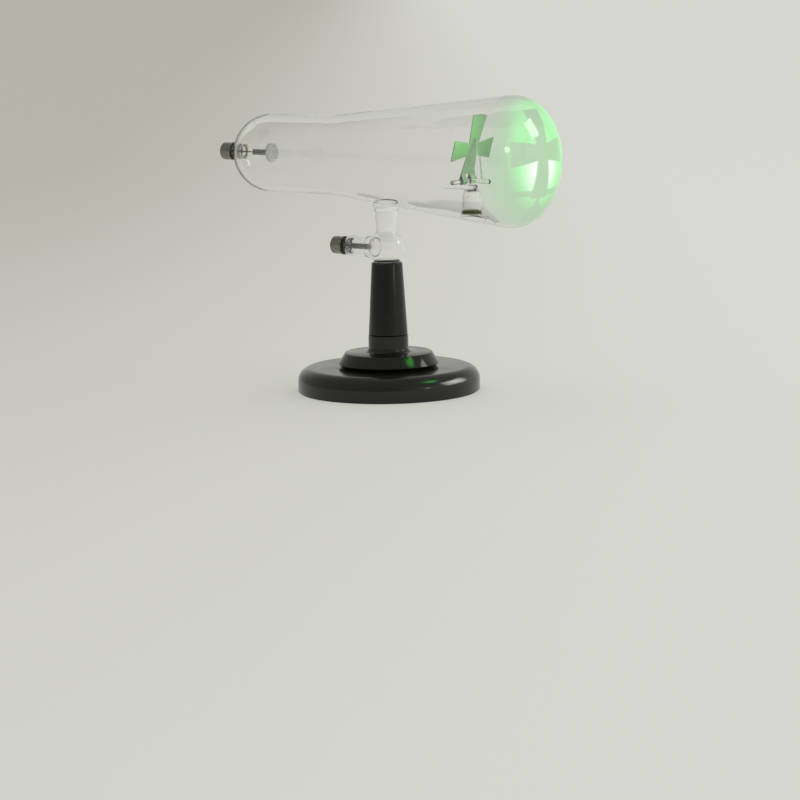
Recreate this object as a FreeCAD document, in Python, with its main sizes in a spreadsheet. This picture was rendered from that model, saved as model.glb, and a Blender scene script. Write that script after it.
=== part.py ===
import FreeCAD, Part
import math, os, re
import Sketcher

Vector = FreeCAD.Vector

# Driving dimensions in millimetres and degrees. Heights are above the table and
# "along" is measured on the tube's own axis, which runs from cathode to dome.
STAND = {
    "pad_proud": 0.8, "pad_recess": 1.2, "pad_ledge": 1.8, "pad_gap": 0.1,
    "base_radius": 58.0, "base_height": 15.0, "base_edge": 8.5, "base_wall": 3.2,
    "boss_radius": 9.0, "boss_depth": 2.8,
    "plinth_foot": 30.2, "plinth_girth": 32.1, "plinth_girth_rise": 2.2,
    "plinth_top": 27.8, "plinth_height": 9.2,
    "collar_radius": 12.7, "collar_height": 11.0, "collar_fillet": 3.0,
    "socket_floor": 4.0, "spigot_radius": 9.0, "spigot_gap": 0.1, "spigot_lift": 0.3,
    "column_foot": 12.4, "column_lip": 1.05, "column_height": 46.0, "seam_bevel": 0.45,
    "column_edge": 0.6,
    "bore_clear": 2.5,
    "screw_radius": 2.5, "screw_length": 24.0, "screw_head": 4.6, "screw_head_height": 3.0,
    "screw_slot": 1.2, "screw_gap": 0.25,
    "washer_radius": 6.0, "washer_thick": 1.0,
    "insert_radius": 3.7, "insert_length": 12.0, "insert_gap": 0.05,
    "screw_clear": 0.8,
}
LOWER_GLASS = {
    "peg_radius": 8.1, "peg_depth": 20.0, "peg_floor": 2.2, "low_wall": 1.5,
    "pump_tip_length": 4.5, "pump_tip_radius": 2.4, "pump_tip_end": 0.9,
    "cement_ring": 0.65, "cement_short": 0.4,
    "bulb_radius": 11.7, "bulb_clear": 0.757,
    "neck_radius": 6.35, "neck_length": 17.852, "neck_top": 7.1,
    "weld_radius": 7.9, "weld_drop": 3.0, "weld_height": 2.6,
    "arm_radius": 6.65, "arm_ring_rise": 0.4, "arm_ring_off": 1.2, "arm_ring_width": 1.4,
    "arm_length": 24.5, "arm_swell": 8.5, "arm_seal": 4.0,
}
TUBE = {
    "pole_reach": 116.2, "dome_reach": 121.7,
    "barrel_radius": 25.1, "cone_angle": 6.4, "dome_radius": 40.6,
    "shoulder_radius": 18.0, "crown_radius": 60.0, "tube_wall": 1.6, "pole_wall": 4.3,
    "nipple_radius": 4.6, "nipple_reach": 12.6,
}
TERMINALS = {
    "cap_cement": 0.6, "cap_rim_rise": 0.3, "cap_rim_width": 1.1, "cap_length": 8.6,
    "cap_wall": 0.5, "cap_edge": 1.2, "cement_set": 0.4, "cathode_cap_off": 6.2, "anode_nipple": 6.4,
    "wire_radius": 0.5, "bead_radius": 1.5, "bead_height": 0.9,
    "sleeve_radius": 1.9, "sleeve_length": 6.3, "wire_gap": 0.1, "wire_socket": 3.0,
    "cathode_rod_radius": 1.85, "cathode_rod_length": 13.9, "disc_radius": 6.25, "disc_thick": 1.2,
    "disc_bevel": 0.3,
    "anode_rod_radius": 1.75, "anode_wire_bare": 2.1, "anode_rod_length": 12.4,
}
CROSS = {
    "stem_along": 66.2, "stem_radius": 5.9, "stem_wall": 1.3,
    "stem_crown": 3.4, "stem_crown_drop": 4.6, "stem_foot": 9.6,
    "stem_foot_drop": 7.0, "stem_mouth": 6.3, "stem_shoulder": 8.0,
    "hinge_back": 2.7, "hinge_depth": 12.8, "bar_radius": 1.35, "bar_reach": 17.5,
    "curl_gap": 0.1, "sheet": 0.6, "curl_angle": 45.0, "hem_end": 5.7,
    "cross_lean": 15.8, "cross_middle": 19.85, "cross_up": 22.35, "cross_side": 20.0,
    "waist_half": 4.15, "up_half": 6.3, "side_half": 6.6, "foot_half": 6.9,
    "notch_half": 2.4, "notch_top": 4.2,
    "lie_gap": 0.3, "rest_arm_radius": 1.6, "rest_arm_reach": 21.2, "rest_arm_root": 3.6,
    "rest_arm_sink": 0.35, "post_radius": 1.5,
    "stop_arm_radius": 1.4, "stop_arm_length": 17.1,
    "stop_foot_off": 8.8, "stop_foot_radius": 1.8, "stop_tip_radius": 0.9,
    "stop_reach": 27.0, "stop_gap": 0.3,
}

doc = FreeCAD.newDocument("ShadowCrossTube")
sizes = doc.addObject("Spreadsheet::Sheet", "Sizes")
row = 0
for group in (STAND, LOWER_GLASS, TUBE, TERMINALS, CROSS):
    for alias, value in group.items():
        row += 1
        sizes.set("A%d" % row, alias)
        sizes.set("B%d" % row, str(value))
        sizes.setAlias("B%d" % row, alias)
doc.recompute()


def bound(text):
    # turns the aliases in a formula into references to the sheet
    return re.sub(r"\b[a-z][a-z0-9_]*\b(?!\()", lambda word: "Sizes." + word.group(0), str(text))


def number(text):
    return float(sizes.evalExpression(bound(text)))


# Derived places, each a formula in the sheet's aliases
base_top = "(pad_proud + base_height)"
pad_seat = "(base_radius - base_wall + pad_ledge)"
boss_face = f"({base_top} - base_wall - boss_depth)"
screw_seat = f"({boss_face} - washer_thick)"
collar_top = f"({base_top} + plinth_height + collar_height)"
socket_seat = f"({base_top} + socket_floor)"
column_seat = f"({socket_seat} + spigot_lift)"
column_top = f"({collar_top} + column_height)"
bore_radius = "(peg_radius + cement_ring)"
column_tip = f"({bore_radius} + column_lip)"
bore_depth = "(peg_depth + pump_tip_length + bore_clear)"
bulb_rise = "(sqrt(bulb_radius^2 - peg_radius^2) + bulb_clear)"
bulb_height = f"({column_top} + {bulb_rise})"
peg_end = f"({column_top} - peg_depth)"
neck_seat = f"({bulb_height} + sqrt(bulb_radius^2 - neck_radius^2))"
wire_bore = "(wire_radius + wire_gap)"
cap_radius = "(nipple_radius + cap_cement + cap_wall)"
curl_inner = "(bar_radius + curl_gap)"
curl_outer = f"({curl_inner} + sheet)"

# The tube's outline: centres of its curves, counted from the nipple's end
tube_start = "(pole_reach + nipple_reach)"
tube_end = f"({tube_start} + dome_reach)"
crown_middle = f"({tube_end} - crown_radius)"
shoulder_out = "(dome_radius - shoulder_radius)"
crown_less = "(crown_radius - shoulder_radius)"
shoulder_middle = f"({crown_middle} + sqrt({crown_less}^2 - {shoulder_out}^2))"
barrel_middle = "(nipple_reach + barrel_radius)"


def cone_end(radius):
    return (f"({shoulder_middle} - {radius} * sin(cone_angle))",
            f"({shoulder_out} + {radius} * cos(cone_angle))")


def cone_start(radius, barrel):
    along, out = cone_end(radius)
    return f"({along} - ({out} - {barrel}) / tan(cone_angle))"


def crown_edge(radius):
    share = f"({radius} / {crown_less})"
    return (f"({crown_middle} + ({shoulder_middle} - {crown_middle}) * {share})",
            f"({shoulder_out} * {share})")


def cone_at(along):
    return f"(barrel_radius + ({tube_start} + {along} - {outer_cone}) * tan(cone_angle))"


outer_cone = cone_start("shoulder_radius", "barrel_radius")
axis_height = f"({neck_seat} + neck_length + {cone_at('0')})"
hinge_along = "(stem_along - hinge_back)"
hinge_height = f"({axis_height} - hinge_depth)"
rest_arm_height = f"({hinge_height} - {curl_outer} - lie_gap - rest_arm_radius)"
stem_top = f"({rest_arm_height} - rest_arm_radius + rest_arm_sink)"
stem_low = f"({axis_height} - {cone_at('stem_along')})"


def plane(body, role):
    return next(item for item in body.Origin.OriginFeatures if item.Role == role)


def arc_centre(start, end, radius, side):
    # side +1 turns left on the way from start to end, -1 turns right
    chord = end - start
    reach = math.sqrt(max(radius * radius - chord.Length ** 2 / 4, 0))
    left = Vector(-chord.y, chord.x, 0).normalize()
    return (start + end) * 0.5 + left * reach * side


def draw_loop(sketch, corners):
    # a corner is (x, y), or (x, y, radius, side) where an arc leaves it
    spots = [Vector(number(corner[0]), number(corner[1]), 0) for corner in corners]
    ends = []
    for here, corner in enumerate(corners):
        start, end = spots[here], spots[(here + 1) % len(corners)]
        if len(corner) == 2:
            edge = sketch.addGeometry(Part.LineSegment(start, end), False)
            ends.append((edge, 1, 2))
            continue
        radius, side = number(corner[2]), corner[3]
        centre = arc_centre(start, end, radius, side)
        turn = [math.atan2(spot.y - centre.y, spot.x - centre.x) for spot in (start, end)]
        if side < 0:
            turn.reverse()
        circle = Part.Circle(centre, Vector(0, 0, 1), radius)
        edge = sketch.addGeometry(Part.ArcOfCircle(circle, *turn), False)
        ends.append((edge, 1, 2) if side > 0 else (edge, 2, 1))
        tie = sketch.addConstraint(Sketcher.Constraint("Radius", edge, radius))
        sketch.setExpression("Constraints[%d]" % tie, bound(corner[2]))
    for here, corner in enumerate(corners):
        edge, first, last = ends[here]
        after = ends[(here + 1) % len(corners)]
        sketch.addConstraint(Sketcher.Constraint("Coincident", edge, last, after[0], after[1]))
        for kind, formula, axis in (("DistanceX", corner[0], -2), ("DistanceY", corner[1], -1)):
            if formula == "0":
                sketch.addConstraint(Sketcher.Constraint("PointOnObject", edge, first, axis))
                continue
            tie = sketch.addConstraint(
                Sketcher.Constraint(kind, -1, 1, edge, first, number(formula)))
            sketch.setExpression("Constraints[%d]" % tie, bound(formula))


def draw(body, role, *loops):
    sketch = body.newObject("Sketcher::SketchObject", body.Name + "_outline")
    sketch.AttachmentSupport = [(plane(body, role), "")]
    sketch.MapMode = "FlatFace"
    for corners in loops:
        draw_loop(sketch, corners)
    return sketch


def turned(name, axis, corners):
    body = doc.addObject("PartDesign::Body", name)
    outline = draw(body, "XZ_Plane", corners)
    spin = body.newObject("PartDesign::Revolution", name + "_turned")
    spin.Profile = outline
    spin.ReferenceAxis = (outline, [axis])
    spin.Angle = 360
    return body


def upright(name, *corners):
    # corners are (out, up), turned about the vertical
    return turned(name, "V_Axis", corners)


def lying(name, *corners):
    # corners are (along, out), turned about the lying axis
    return turned(name, "H_Axis", corners)


def padded(name, role, width, *loops):
    body = doc.addObject("PartDesign::Body", name)
    outline = draw(body, role, *loops)
    pad = body.newObject("PartDesign::Pad", name + "_pad")
    pad.Profile = outline
    pad.Midplane = True
    pad.setExpression("Length", bound(width))
    return body


def cylinder(name, radius, length):
    rod = doc.addObject("Part::Cylinder", name)
    rod.setExpression("Radius", bound(radius))
    rod.setExpression("Height", bound(length))
    return rod


def place(piece, along="0", across="0", up="0", axis=None, angle="0"):
    if axis:
        turn = FreeCAD.Rotation(Vector(*axis), number(angle))
        piece.Placement = FreeCAD.Placement(Vector(), turn)
        piece.setExpression("Placement.Rotation.Angle", bound(angle))
    for name, formula in (("x", along), ("y", across), ("z", up)):
        if formula != "0":
            piece.setExpression("Placement.Base." + name, bound(formula))
    return piece


def cut(name, base, *tools):
    result = base
    for count, tool in enumerate(tools, 1):
        last = count == len(tools)
        trimmed = doc.addObject("Part::Cut", name if last else "%s_trim%d" % (name, count))
        trimmed.Base, trimmed.Tool = result, tool
        result = trimmed
    return result


def common(name, first, second):
    result = doc.addObject("Part::Common", name)
    result.Base, result.Tool = first, second
    return result


def fuse(name, *parts):
    result = doc.addObject("Part::MultiFuse", name)
    result.Shapes = list(parts)
    return result


nodes = {}


def keep(name, piece):
    piece.Label = name
    nodes[name] = piece
    return piece


# Stand: pad, base disc, socket with its collar, and the tapered column
keep("base_pad", cylinder("base_pad", f"{pad_seat} - pad_gap", "pad_proud + pad_recess"))

screw_hole = "(screw_radius + screw_gap)"
keep("base_disc", place(upright(
    "base_disc",
    ("base_radius", "0"),
    ("base_radius", "base_height - base_edge", "base_edge", 1),
    ("base_radius - base_edge", "base_height"),
    (screw_hole, "base_height"),
    (screw_hole, "base_height - base_wall - boss_depth"),
    ("boss_radius", "base_height - base_wall - boss_depth"),
    ("boss_radius", "base_height - base_wall"),
    ("base_radius - base_edge", "base_height - base_wall", "base_edge - base_wall", -1),
    ("base_radius - base_wall", "base_height - base_edge"),
    ("base_radius - base_wall", "pad_recess"),
    (pad_seat, "pad_recess"),
    (pad_seat, "0")), up="pad_proud"))

socket_bore = "(spigot_radius + spigot_gap)"
keep("column_socket", place(upright(
    "column_socket",
    (screw_hole, "0"),
    ("plinth_foot", "0"),
    ("plinth_girth", "plinth_girth_rise"),
    ("plinth_top", "plinth_height"),
    ("collar_radius + collar_fillet", "plinth_height", "collar_fillet", -1),
    ("collar_radius", "plinth_height + collar_fillet"),
    ("collar_radius", "plinth_height + collar_height - seam_bevel"),
    ("collar_radius - seam_bevel", "plinth_height + collar_height"),
    (socket_bore, "plinth_height + collar_height"),
    (socket_bore, "socket_floor"),
    (screw_hole, "socket_floor")), up=base_top))

spigot_length = "(plinth_height + collar_height - socket_floor - spigot_lift)"
insert_hole = "(insert_radius + insert_gap)"
insert_hole_end = f"({screw_seat} + screw_length + screw_clear - {column_seat})"
keep("column", place(upright(
    "column",
    (insert_hole, "0"),
    ("spigot_radius", "0"),
    ("spigot_radius", spigot_length),
    ("column_foot - seam_bevel", spigot_length),
    ("column_foot", f"{spigot_length} + seam_bevel"),
    (column_tip, f"{spigot_length} + column_height - column_edge", "column_edge", 1),
    (f"{column_tip} - column_edge", f"{spigot_length} + column_height"),
    (bore_radius, f"{spigot_length} + column_height"),
    (bore_radius, f"{spigot_length} + column_height - {bore_depth}"),
    ("0", f"{spigot_length} + column_height - {bore_depth}"),
    ("0", insert_hole_end),
    (insert_hole, insert_hole_end)), up=column_seat))

screw_blank = place(upright(
    "screw_blank",
    ("0", "0"),
    ("screw_head", "0"),
    ("screw_head", "screw_head_height"),
    ("screw_radius", "screw_head_height"),
    ("screw_radius", "screw_head_height + screw_length"),
    ("0", "screw_head_height + screw_length")), up=f"{screw_seat} - screw_head_height")
slot = doc.addObject("Part::Box", "screw_slot")
slot.setExpression("Length", bound("2 * screw_head + 2 * screw_slot"))
slot.setExpression("Width", bound("screw_slot"))
slot.setExpression("Height", bound("screw_slot"))
place(slot, "-(screw_head + screw_slot)", "-screw_slot / 2", f"{screw_seat} - screw_head_height")
keep("base_screw", cut("base_screw", screw_blank, slot))

keep("screw_washer", place(upright(
    "screw_washer",
    (screw_hole, "0"),
    ("washer_radius", "0"),
    ("washer_radius", "washer_thick"),
    (screw_hole, "washer_thick")), up=screw_seat))

keep("threaded_insert", place(upright(
    "threaded_insert",
    ("screw_radius + insert_gap", "0"),
    ("insert_radius", "0"),
    ("insert_radius", "insert_length"),
    ("screw_radius + insert_gap", "insert_length")), up=column_seat))

# Lower glass: peg and bulb in one blow, neck, side arm and pump tip
bulb_middle = f"(peg_depth + {bulb_rise})"
bulb_in = "(bulb_radius - low_wall)"
neck_bore = "(neck_radius - low_wall)"
peg_bore = "(peg_radius - low_wall)"
arm_bore = "(arm_radius - low_wall)"
bulb_blank = place(upright(
    "bulb_blank",
    ("0", "0"),
    ("peg_radius - peg_floor", "0", "peg_floor", 1),
    ("peg_radius", "peg_floor"),
    ("peg_radius", f"{bulb_middle} - sqrt(bulb_radius^2 - peg_radius^2)", "bulb_radius", 1),
    ("neck_radius", f"{bulb_middle} + sqrt(bulb_radius^2 - neck_radius^2)"),
    (neck_bore, f"{bulb_middle} + sqrt(bulb_radius^2 - neck_radius^2)"),
    (neck_bore, f"{bulb_middle} + sqrt({bulb_in}^2 - {neck_bore}^2)", bulb_in, -1),
    (peg_bore, f"{bulb_middle} - sqrt({bulb_in}^2 - {peg_bore}^2)"),
    (peg_bore, "peg_floor"),
    ("0", "peg_floor")), up=peg_end)
arm_way = place(cylinder("arm_way", arm_bore, "2 * bulb_radius"),
                up=bulb_height, axis=(0, 1, 0), angle="-90")
keep("glass_bulb", cut("glass_bulb", bulb_blank, arm_way))

keep("pump_tip", place(upright(
    "pump_tip",
    ("0", "0"),
    ("pump_tip_end", "0"),
    ("pump_tip_radius", "pump_tip_length"),
    ("0", "pump_tip_length")), up=f"{peg_end} - pump_tip_length"))

keep("glass_cement", place(upright(
    "glass_cement",
    ("peg_radius", "0"),
    (bore_radius, "0"),
    (bore_radius, "peg_depth - peg_floor - cement_short"),
    ("peg_radius", "peg_depth - peg_floor - cement_short")), up=f"{peg_end} + peg_floor"))

# Envelope: outer form less the space inside and the ways into it
tube_outer = place(lying(
    "tube_outer",
    ("0", "0"),
    ("0", "nipple_radius"),
    (f"{barrel_middle} - sqrt(barrel_radius^2 - nipple_radius^2)", "nipple_radius", "barrel_radius", -1),
    (barrel_middle, "barrel_radius"),
    (outer_cone, "barrel_radius"),
    (*cone_end("shoulder_radius"), "shoulder_radius", -1),
    (*crown_edge("crown_radius"), "crown_radius", -1),
    (tube_end, "0")), f"-{tube_start}", up=axis_height)

barrel_in = "(barrel_radius - tube_wall)"
shoulder_in = "(shoulder_radius - tube_wall)"
crown_in = "(crown_radius - tube_wall)"
pole_in = "(nipple_reach + pole_wall)"
tube_space = place(lying(
    "tube_space",
    (pole_in, "0", barrel_in, -1),
    (f"{pole_in} + {barrel_in}", barrel_in),
    (cone_start(shoulder_in, barrel_in), barrel_in),
    (*cone_end(shoulder_in), shoulder_in, -1),
    (*crown_edge(crown_in), crown_in, -1),
    (f"{tube_end} - tube_wall", "0")), f"-{tube_start}", up=axis_height)

neck_way = place(cylinder("neck_way", neck_bore, f"{axis_height} - {neck_seat}"), up=neck_seat)
stem_way = place(cylinder("stem_way", "stem_mouth", f"{stem_top} - {stem_low} + barrel_radius"),
                 "stem_along", up=f"{stem_low} - barrel_radius")
wire_way = place(cylinder("wire_way", "wire_radius", f"{pole_in} + tube_wall"),
                 f"-{tube_start}", up=axis_height, axis=(0, 1, 0), angle="90")
keep("glass_envelope", cut("glass_envelope", tube_outer, tube_space, neck_way, stem_way, wire_way))

weld_low = "(neck_length - weld_drop - weld_height)"
neck_blank = place(upright(
    "neck_blank",
    (neck_bore, "0"),
    ("neck_radius", "0"),
    ("neck_top", weld_low),
    ("weld_radius", f"{weld_low} + weld_height"),
    ("weld_radius", f"{axis_height} - {neck_seat}"),
    (neck_bore, f"{axis_height} - {neck_seat}")), up=neck_seat)
keep("glass_neck", cut("glass_neck", neck_blank, tube_outer))

arm_root = "(arm_length + arm_swell)"
arm_start = f"({arm_root} + anode_nipple)"
arm_rise = "(arm_radius - nipple_radius)"
arm_ring_at = "(bulb_radius + arm_ring_off)"
seal_end = "(arm_length + arm_seal)"
arm_blank = place(lying(
    "arm_blank",
    ("0", "wire_radius"),
    ("0", "nipple_radius"),
    ("anode_nipple", "nipple_radius", f"(arm_swell^2 + {arm_rise}^2) / (2 * {arm_rise})", -1),
    (f"{arm_start} - arm_length", "arm_radius"),
    (f"{arm_start} - {arm_ring_at} - arm_ring_width", "arm_radius",
     "(arm_ring_width^2 + arm_ring_rise^2) / (2 * arm_ring_rise)", -1),
    (f"{arm_start} - {arm_ring_at} + arm_ring_width", "arm_radius"),
    (arm_start, "arm_radius"),
    (arm_start, arm_bore),
    (f"{arm_start} - {seal_end} + {arm_bore}", arm_bore),
    (f"{arm_start} - {seal_end}", "sleeve_radius"),
    (f"{arm_start} - {seal_end}", "wire_radius")), f"-{arm_start}", up=bulb_height)
bulb_ball = doc.addObject("Part::Sphere", "bulb_ball")
bulb_ball.setExpression("Radius", bound("bulb_radius"))
place(bulb_ball, up=bulb_height)
keep("side_arm", cut("side_arm", arm_blank, bulb_ball))


# Terminals: the same cap, cement and solder bead at both ends
def terminal(end, mouth, nipple, up):
    cap_end = f"({mouth} + cap_length)"
    cap_in = "(nipple_radius + cap_cement)"
    keep(end + "_cap", place(lying(
        end + "_cap",
        ("0", wire_bore),
        ("0", f"{cap_radius} - cap_edge", "cap_edge", -1),
        ("cap_edge", cap_radius),
        ("cap_length - cap_rim_width", cap_radius),
        ("cap_length - cap_rim_width", f"{cap_radius} + cap_rim_rise"),
        ("cap_length", f"{cap_radius} + cap_rim_rise"),
        ("cap_length", cap_in),
        ("cap_wall", cap_in),
        ("cap_wall", wire_bore)), f"-{cap_end}", up=up))
    seat = f"(cap_length - cap_wall - {nipple})"
    depth = "(cap_length - cap_wall - cement_set)"
    keep(end + "_cement", place(lying(
        end + "_cement",
        ("0", "wire_radius"),
        ("0", cap_in),
        (depth, cap_in),
        (depth, "nipple_radius"),
        (seat, "nipple_radius"),
        (seat, "wire_radius")), f"-{cap_end} + cap_wall", up=up))
    keep(end + "_solder", place(lying(
        end + "_solder",
        ("0", "0", "(bead_height^2 + bead_radius^2) / (2 * bead_height)", -1),
        ("bead_height", "bead_radius"),
        ("bead_height", "0")), f"-{cap_end} - bead_height", up=up))
    return cap_end


def lead(name, start, end, up):
    wire = cylinder(name, "wire_radius", f"{start} - {end}")
    keep(name, place(wire, f"-{start}", up=up, axis=(0, 1, 0), angle="90"))


sleeve_start = "(pole_reach - pole_wall)"
rod_start = f"({sleeve_start} - sleeve_length)"
cathode_end = terminal("cathode", "(pole_reach + cathode_cap_off)",
                       "(nipple_reach - cathode_cap_off)", axis_height)
lead("cathode_wire", cathode_end, f"({rod_start} - wire_socket)", axis_height)
sleeve_blank = place(lying(
    "sleeve_blank",
    ("0", wire_bore),
    ("0", "sleeve_radius"),
    ("sleeve_length", "sleeve_radius"),
    ("sleeve_length", wire_bore)), f"-{sleeve_start}", up=axis_height)
keep("cathode_sleeve", common("cathode_sleeve", sleeve_blank, tube_space))
keep("cathode_rod", place(lying(
    "cathode_rod",
    ("0", wire_bore),
    ("0", "cathode_rod_radius"),
    ("cathode_rod_length", "cathode_rod_radius"),
    ("cathode_rod_length", "0"),
    ("wire_socket", "0"),
    ("wire_socket", wire_bore)), f"-{rod_start}", up=axis_height))
keep("cathode_disc", place(lying(
    "cathode_disc",
    ("0", "0"),
    ("0", "disc_radius"),
    ("disc_thick - disc_bevel", "disc_radius"),
    ("disc_thick", "disc_radius - disc_bevel"),
    ("disc_thick", "0")), f"-({rod_start} - cathode_rod_length)", up=axis_height))

anode_end = terminal("anode", arm_root, "anode_nipple", bulb_height)
anode_rod_start = f"({seal_end} - anode_wire_bare)"
lead("anode_wire", anode_end, f"({anode_rod_start} - wire_socket)", bulb_height)
keep("anode_rod", place(lying(
    "anode_rod",
    ("0", wire_bore),
    ("0", "anode_rod_radius"),
    ("anode_rod_length - disc_bevel", "anode_rod_radius"),
    ("anode_rod_length", "anode_rod_radius - disc_bevel"),
    ("anode_rod_length", "0"),
    ("wire_socket", "0"),
    ("wire_socket", wire_bore)), f"-{anode_rod_start}", up=bulb_height))

# Glass stem that carries the hinge of the cross, and the arms welded to it
stem_spread = "(stem_foot - stem_radius)"
stem_in = "(stem_radius - stem_wall)"
flare = f"((stem_foot_drop^2 + {stem_spread}^2) / (2 * {stem_spread}))"
stem_blank = place(upright(
    "stem_blank",
    ("stem_foot - stem_wall", "0"),
    ("stem_foot", "0", flare, -1),
    ("stem_radius", "stem_foot_drop"),
    ("stem_radius", f"{stem_top} - stem_crown_drop - {stem_low}", "stem_shoulder", 1),
    ("stem_crown", f"{stem_top} - {stem_low}"),
    ("0", f"{stem_top} - {stem_low}"),
    ("0", f"{stem_top} - stem_wall - {stem_low}"),
    ("stem_crown - stem_wall / 2", f"{stem_top} - stem_wall - {stem_low}", "stem_shoulder", -1),
    (stem_in, f"{stem_top} - stem_crown_drop - {stem_low}"),
    (stem_in, "stem_foot_drop", flare, 1)), "stem_along", up=stem_low)
keep("cross_stem", common("cross_stem", stem_blank, tube_space))


def round_rod(name, radius, length):
    return lying(name, ("0", "0", radius, -1), (radius, radius),
                 (f"{length} - {radius}", radius, radius, -1), (length, "0"))


rest_blank = place(round_rod("rest_blank", "rest_arm_radius", "(rest_arm_reach + rest_arm_root)"),
                   "stem_along - rest_arm_reach", up=rest_arm_height)
keep("rest_arm", cut("rest_arm", rest_blank, stem_blank))
keep("hinge_bar", place(round_rod("hinge_bar", "bar_radius", "(2 * bar_reach)"), hinge_along,
                        "-bar_reach", hinge_height, axis=(0, 0, 1), angle="90"))
post_blank = place(cylinder("post_blank", "post_radius", f"{hinge_height} - {rest_arm_height}"),
                   hinge_along, up=rest_arm_height)
keep("hinge_post", cut("hinge_post", post_blank, nodes["rest_arm"], nodes["hinge_bar"]))
stop_blank = place(lying(
    "stop_blank",
    ("0", "0"),
    ("0", "stop_arm_radius"),
    ("stop_arm_length - stop_arm_radius", "stop_arm_radius", "stop_arm_radius", -1),
    ("stop_arm_length", "0")), hinge_along, up=hinge_height)
keep("stop_arm", cut("stop_arm", stop_blank, nodes["hinge_bar"], nodes["hinge_post"]))

# The stop rod leans so that its round tip lies behind the standing cross
tip_out = f"(stop_gap + stop_tip_radius - {curl_inner})"
stop_foot = f"({hinge_along} + stop_foot_off)"
tip_along = f"({hinge_along} + {tip_out} * cos(cross_lean) + stop_reach * sin(cross_lean))"
tip_rise = f"(stop_reach * cos(cross_lean) - {tip_out} * sin(cross_lean))"
stop_turn = f"atan(({tip_along} - {stop_foot}) / {tip_rise})"
stop_shaft = doc.addObject("Part::Cone", "stop_shaft")
stop_shaft.setExpression("Radius1", bound("stop_foot_radius"))
stop_shaft.setExpression("Radius2", bound("stop_tip_radius"))
stop_shaft.setExpression("Height", bound(f"sqrt(({tip_along} - {stop_foot})^2 + {tip_rise}^2)"))
place(stop_shaft, stop_foot, up=hinge_height, axis=(0, 1, 0), angle=stop_turn)
stop_ball = doc.addObject("Part::Sphere", "stop_ball")
stop_ball.setExpression("Radius", bound("stop_tip_radius"))
place(stop_ball, tip_along, up=f"{hinge_height} + {tip_rise}")
keep("stop_rod", cut("stop_rod", fuse("stop_whole", stop_shaft, stop_ball), nodes["stop_arm"]))

# The cross: a sheet hemmed round the hinge bar, cut to its outline
hem_out = f"({curl_inner} - sheet)"


def curl_meets(radius, out):
    # where the curl's straight end meets the upright at this distance out
    return f"({radius} * sin(curl_angle) + ({radius} * cos(curl_angle) + {out}) / tan(curl_angle))"


cross_top = "(cross_middle + cross_up)"
cross_section = padded(
    "cross_section", "XZ_Plane", "2 * cross_side + 2 * sheet",
    [(f"-{curl_outer}", cross_top),
     (f"-{curl_outer}", "0", curl_outer, 1),
     ("0", f"-{curl_outer}", curl_outer, 1),
     (f"{curl_outer} * cos(curl_angle)", f"{curl_outer} * sin(curl_angle)"),
     (f"-{hem_out}", curl_meets(curl_outer, hem_out)),
     (f"-{hem_out}", "hem_end"),
     (f"-{curl_inner}", "hem_end"),
     (f"-{curl_inner}", cross_top)],
    [(f"-{curl_inner}", "0", curl_inner, 1),
     ("0", f"-{curl_inner}", curl_inner, 1),
     (f"{curl_inner} * cos(curl_angle)", f"{curl_inner} * sin(curl_angle)"),
     (f"-{curl_inner}", curl_meets(curl_inner, curl_inner))])
right_side = [
    ("foot_half", f"-{curl_outer}"),
    ("waist_half", "cross_middle - waist_half"),
    ("cross_side", "cross_middle - side_half"),
    ("cross_side", "cross_middle + side_half"),
    ("waist_half", "cross_middle + waist_half"),
    ("up_half", cross_top)]
left_side = [("-" + across, up) for across, up in reversed(right_side)]
notch = [("-notch_half", f"-{curl_outer}"), ("-notch_half", "notch_top"),
         ("notch_half", "notch_top"), ("notch_half", f"-{curl_outer}")]
cross_outline = padded("cross_outline", "YZ_Plane", f"4 * {curl_outer}", right_side + left_side + notch)
for half in (cross_section, cross_outline):
    place(half, hinge_along, up=hinge_height, axis=(0, 1, 0), angle="cross_lean")
keep("shadow_cross", common("shadow_cross", cross_section, cross_outline))

doc.recompute()
failed = [item.Name for item in doc.Objects if {"Invalid", "Error"} & set(item.State)]
if failed:
    raise RuntimeError("not built: " + ", ".join(failed))
for name, piece in nodes.items():
    if piece.Shape.isNull() or not piece.Shape.isValid() or not piece.Shape.Solids:
        raise RuntimeError("bad shape: " + name)
os.makedirs("parts", exist_ok=True)
for name, piece in nodes.items():
    piece.Shape.exportStep(os.path.join("parts", name + ".step"))
    print(name, len(piece.Shape.Solids), round(piece.Shape.Volume, 2))
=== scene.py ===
import math

import bmesh
import bpy
from mathutils import Euler, Matrix, Vector


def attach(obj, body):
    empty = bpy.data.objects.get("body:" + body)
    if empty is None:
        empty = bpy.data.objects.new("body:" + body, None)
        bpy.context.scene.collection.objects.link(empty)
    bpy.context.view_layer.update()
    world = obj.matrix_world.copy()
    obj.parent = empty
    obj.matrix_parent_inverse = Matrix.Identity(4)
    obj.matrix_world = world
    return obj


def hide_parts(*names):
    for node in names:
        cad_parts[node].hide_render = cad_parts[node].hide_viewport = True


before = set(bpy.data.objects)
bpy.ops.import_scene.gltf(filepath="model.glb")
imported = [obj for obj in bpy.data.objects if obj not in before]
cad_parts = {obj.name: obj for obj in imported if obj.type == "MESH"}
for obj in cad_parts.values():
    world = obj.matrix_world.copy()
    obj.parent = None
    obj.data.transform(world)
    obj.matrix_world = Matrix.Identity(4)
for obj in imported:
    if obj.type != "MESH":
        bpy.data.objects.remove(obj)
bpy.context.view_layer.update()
mm = 0.001
print("frame loaded")


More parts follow.
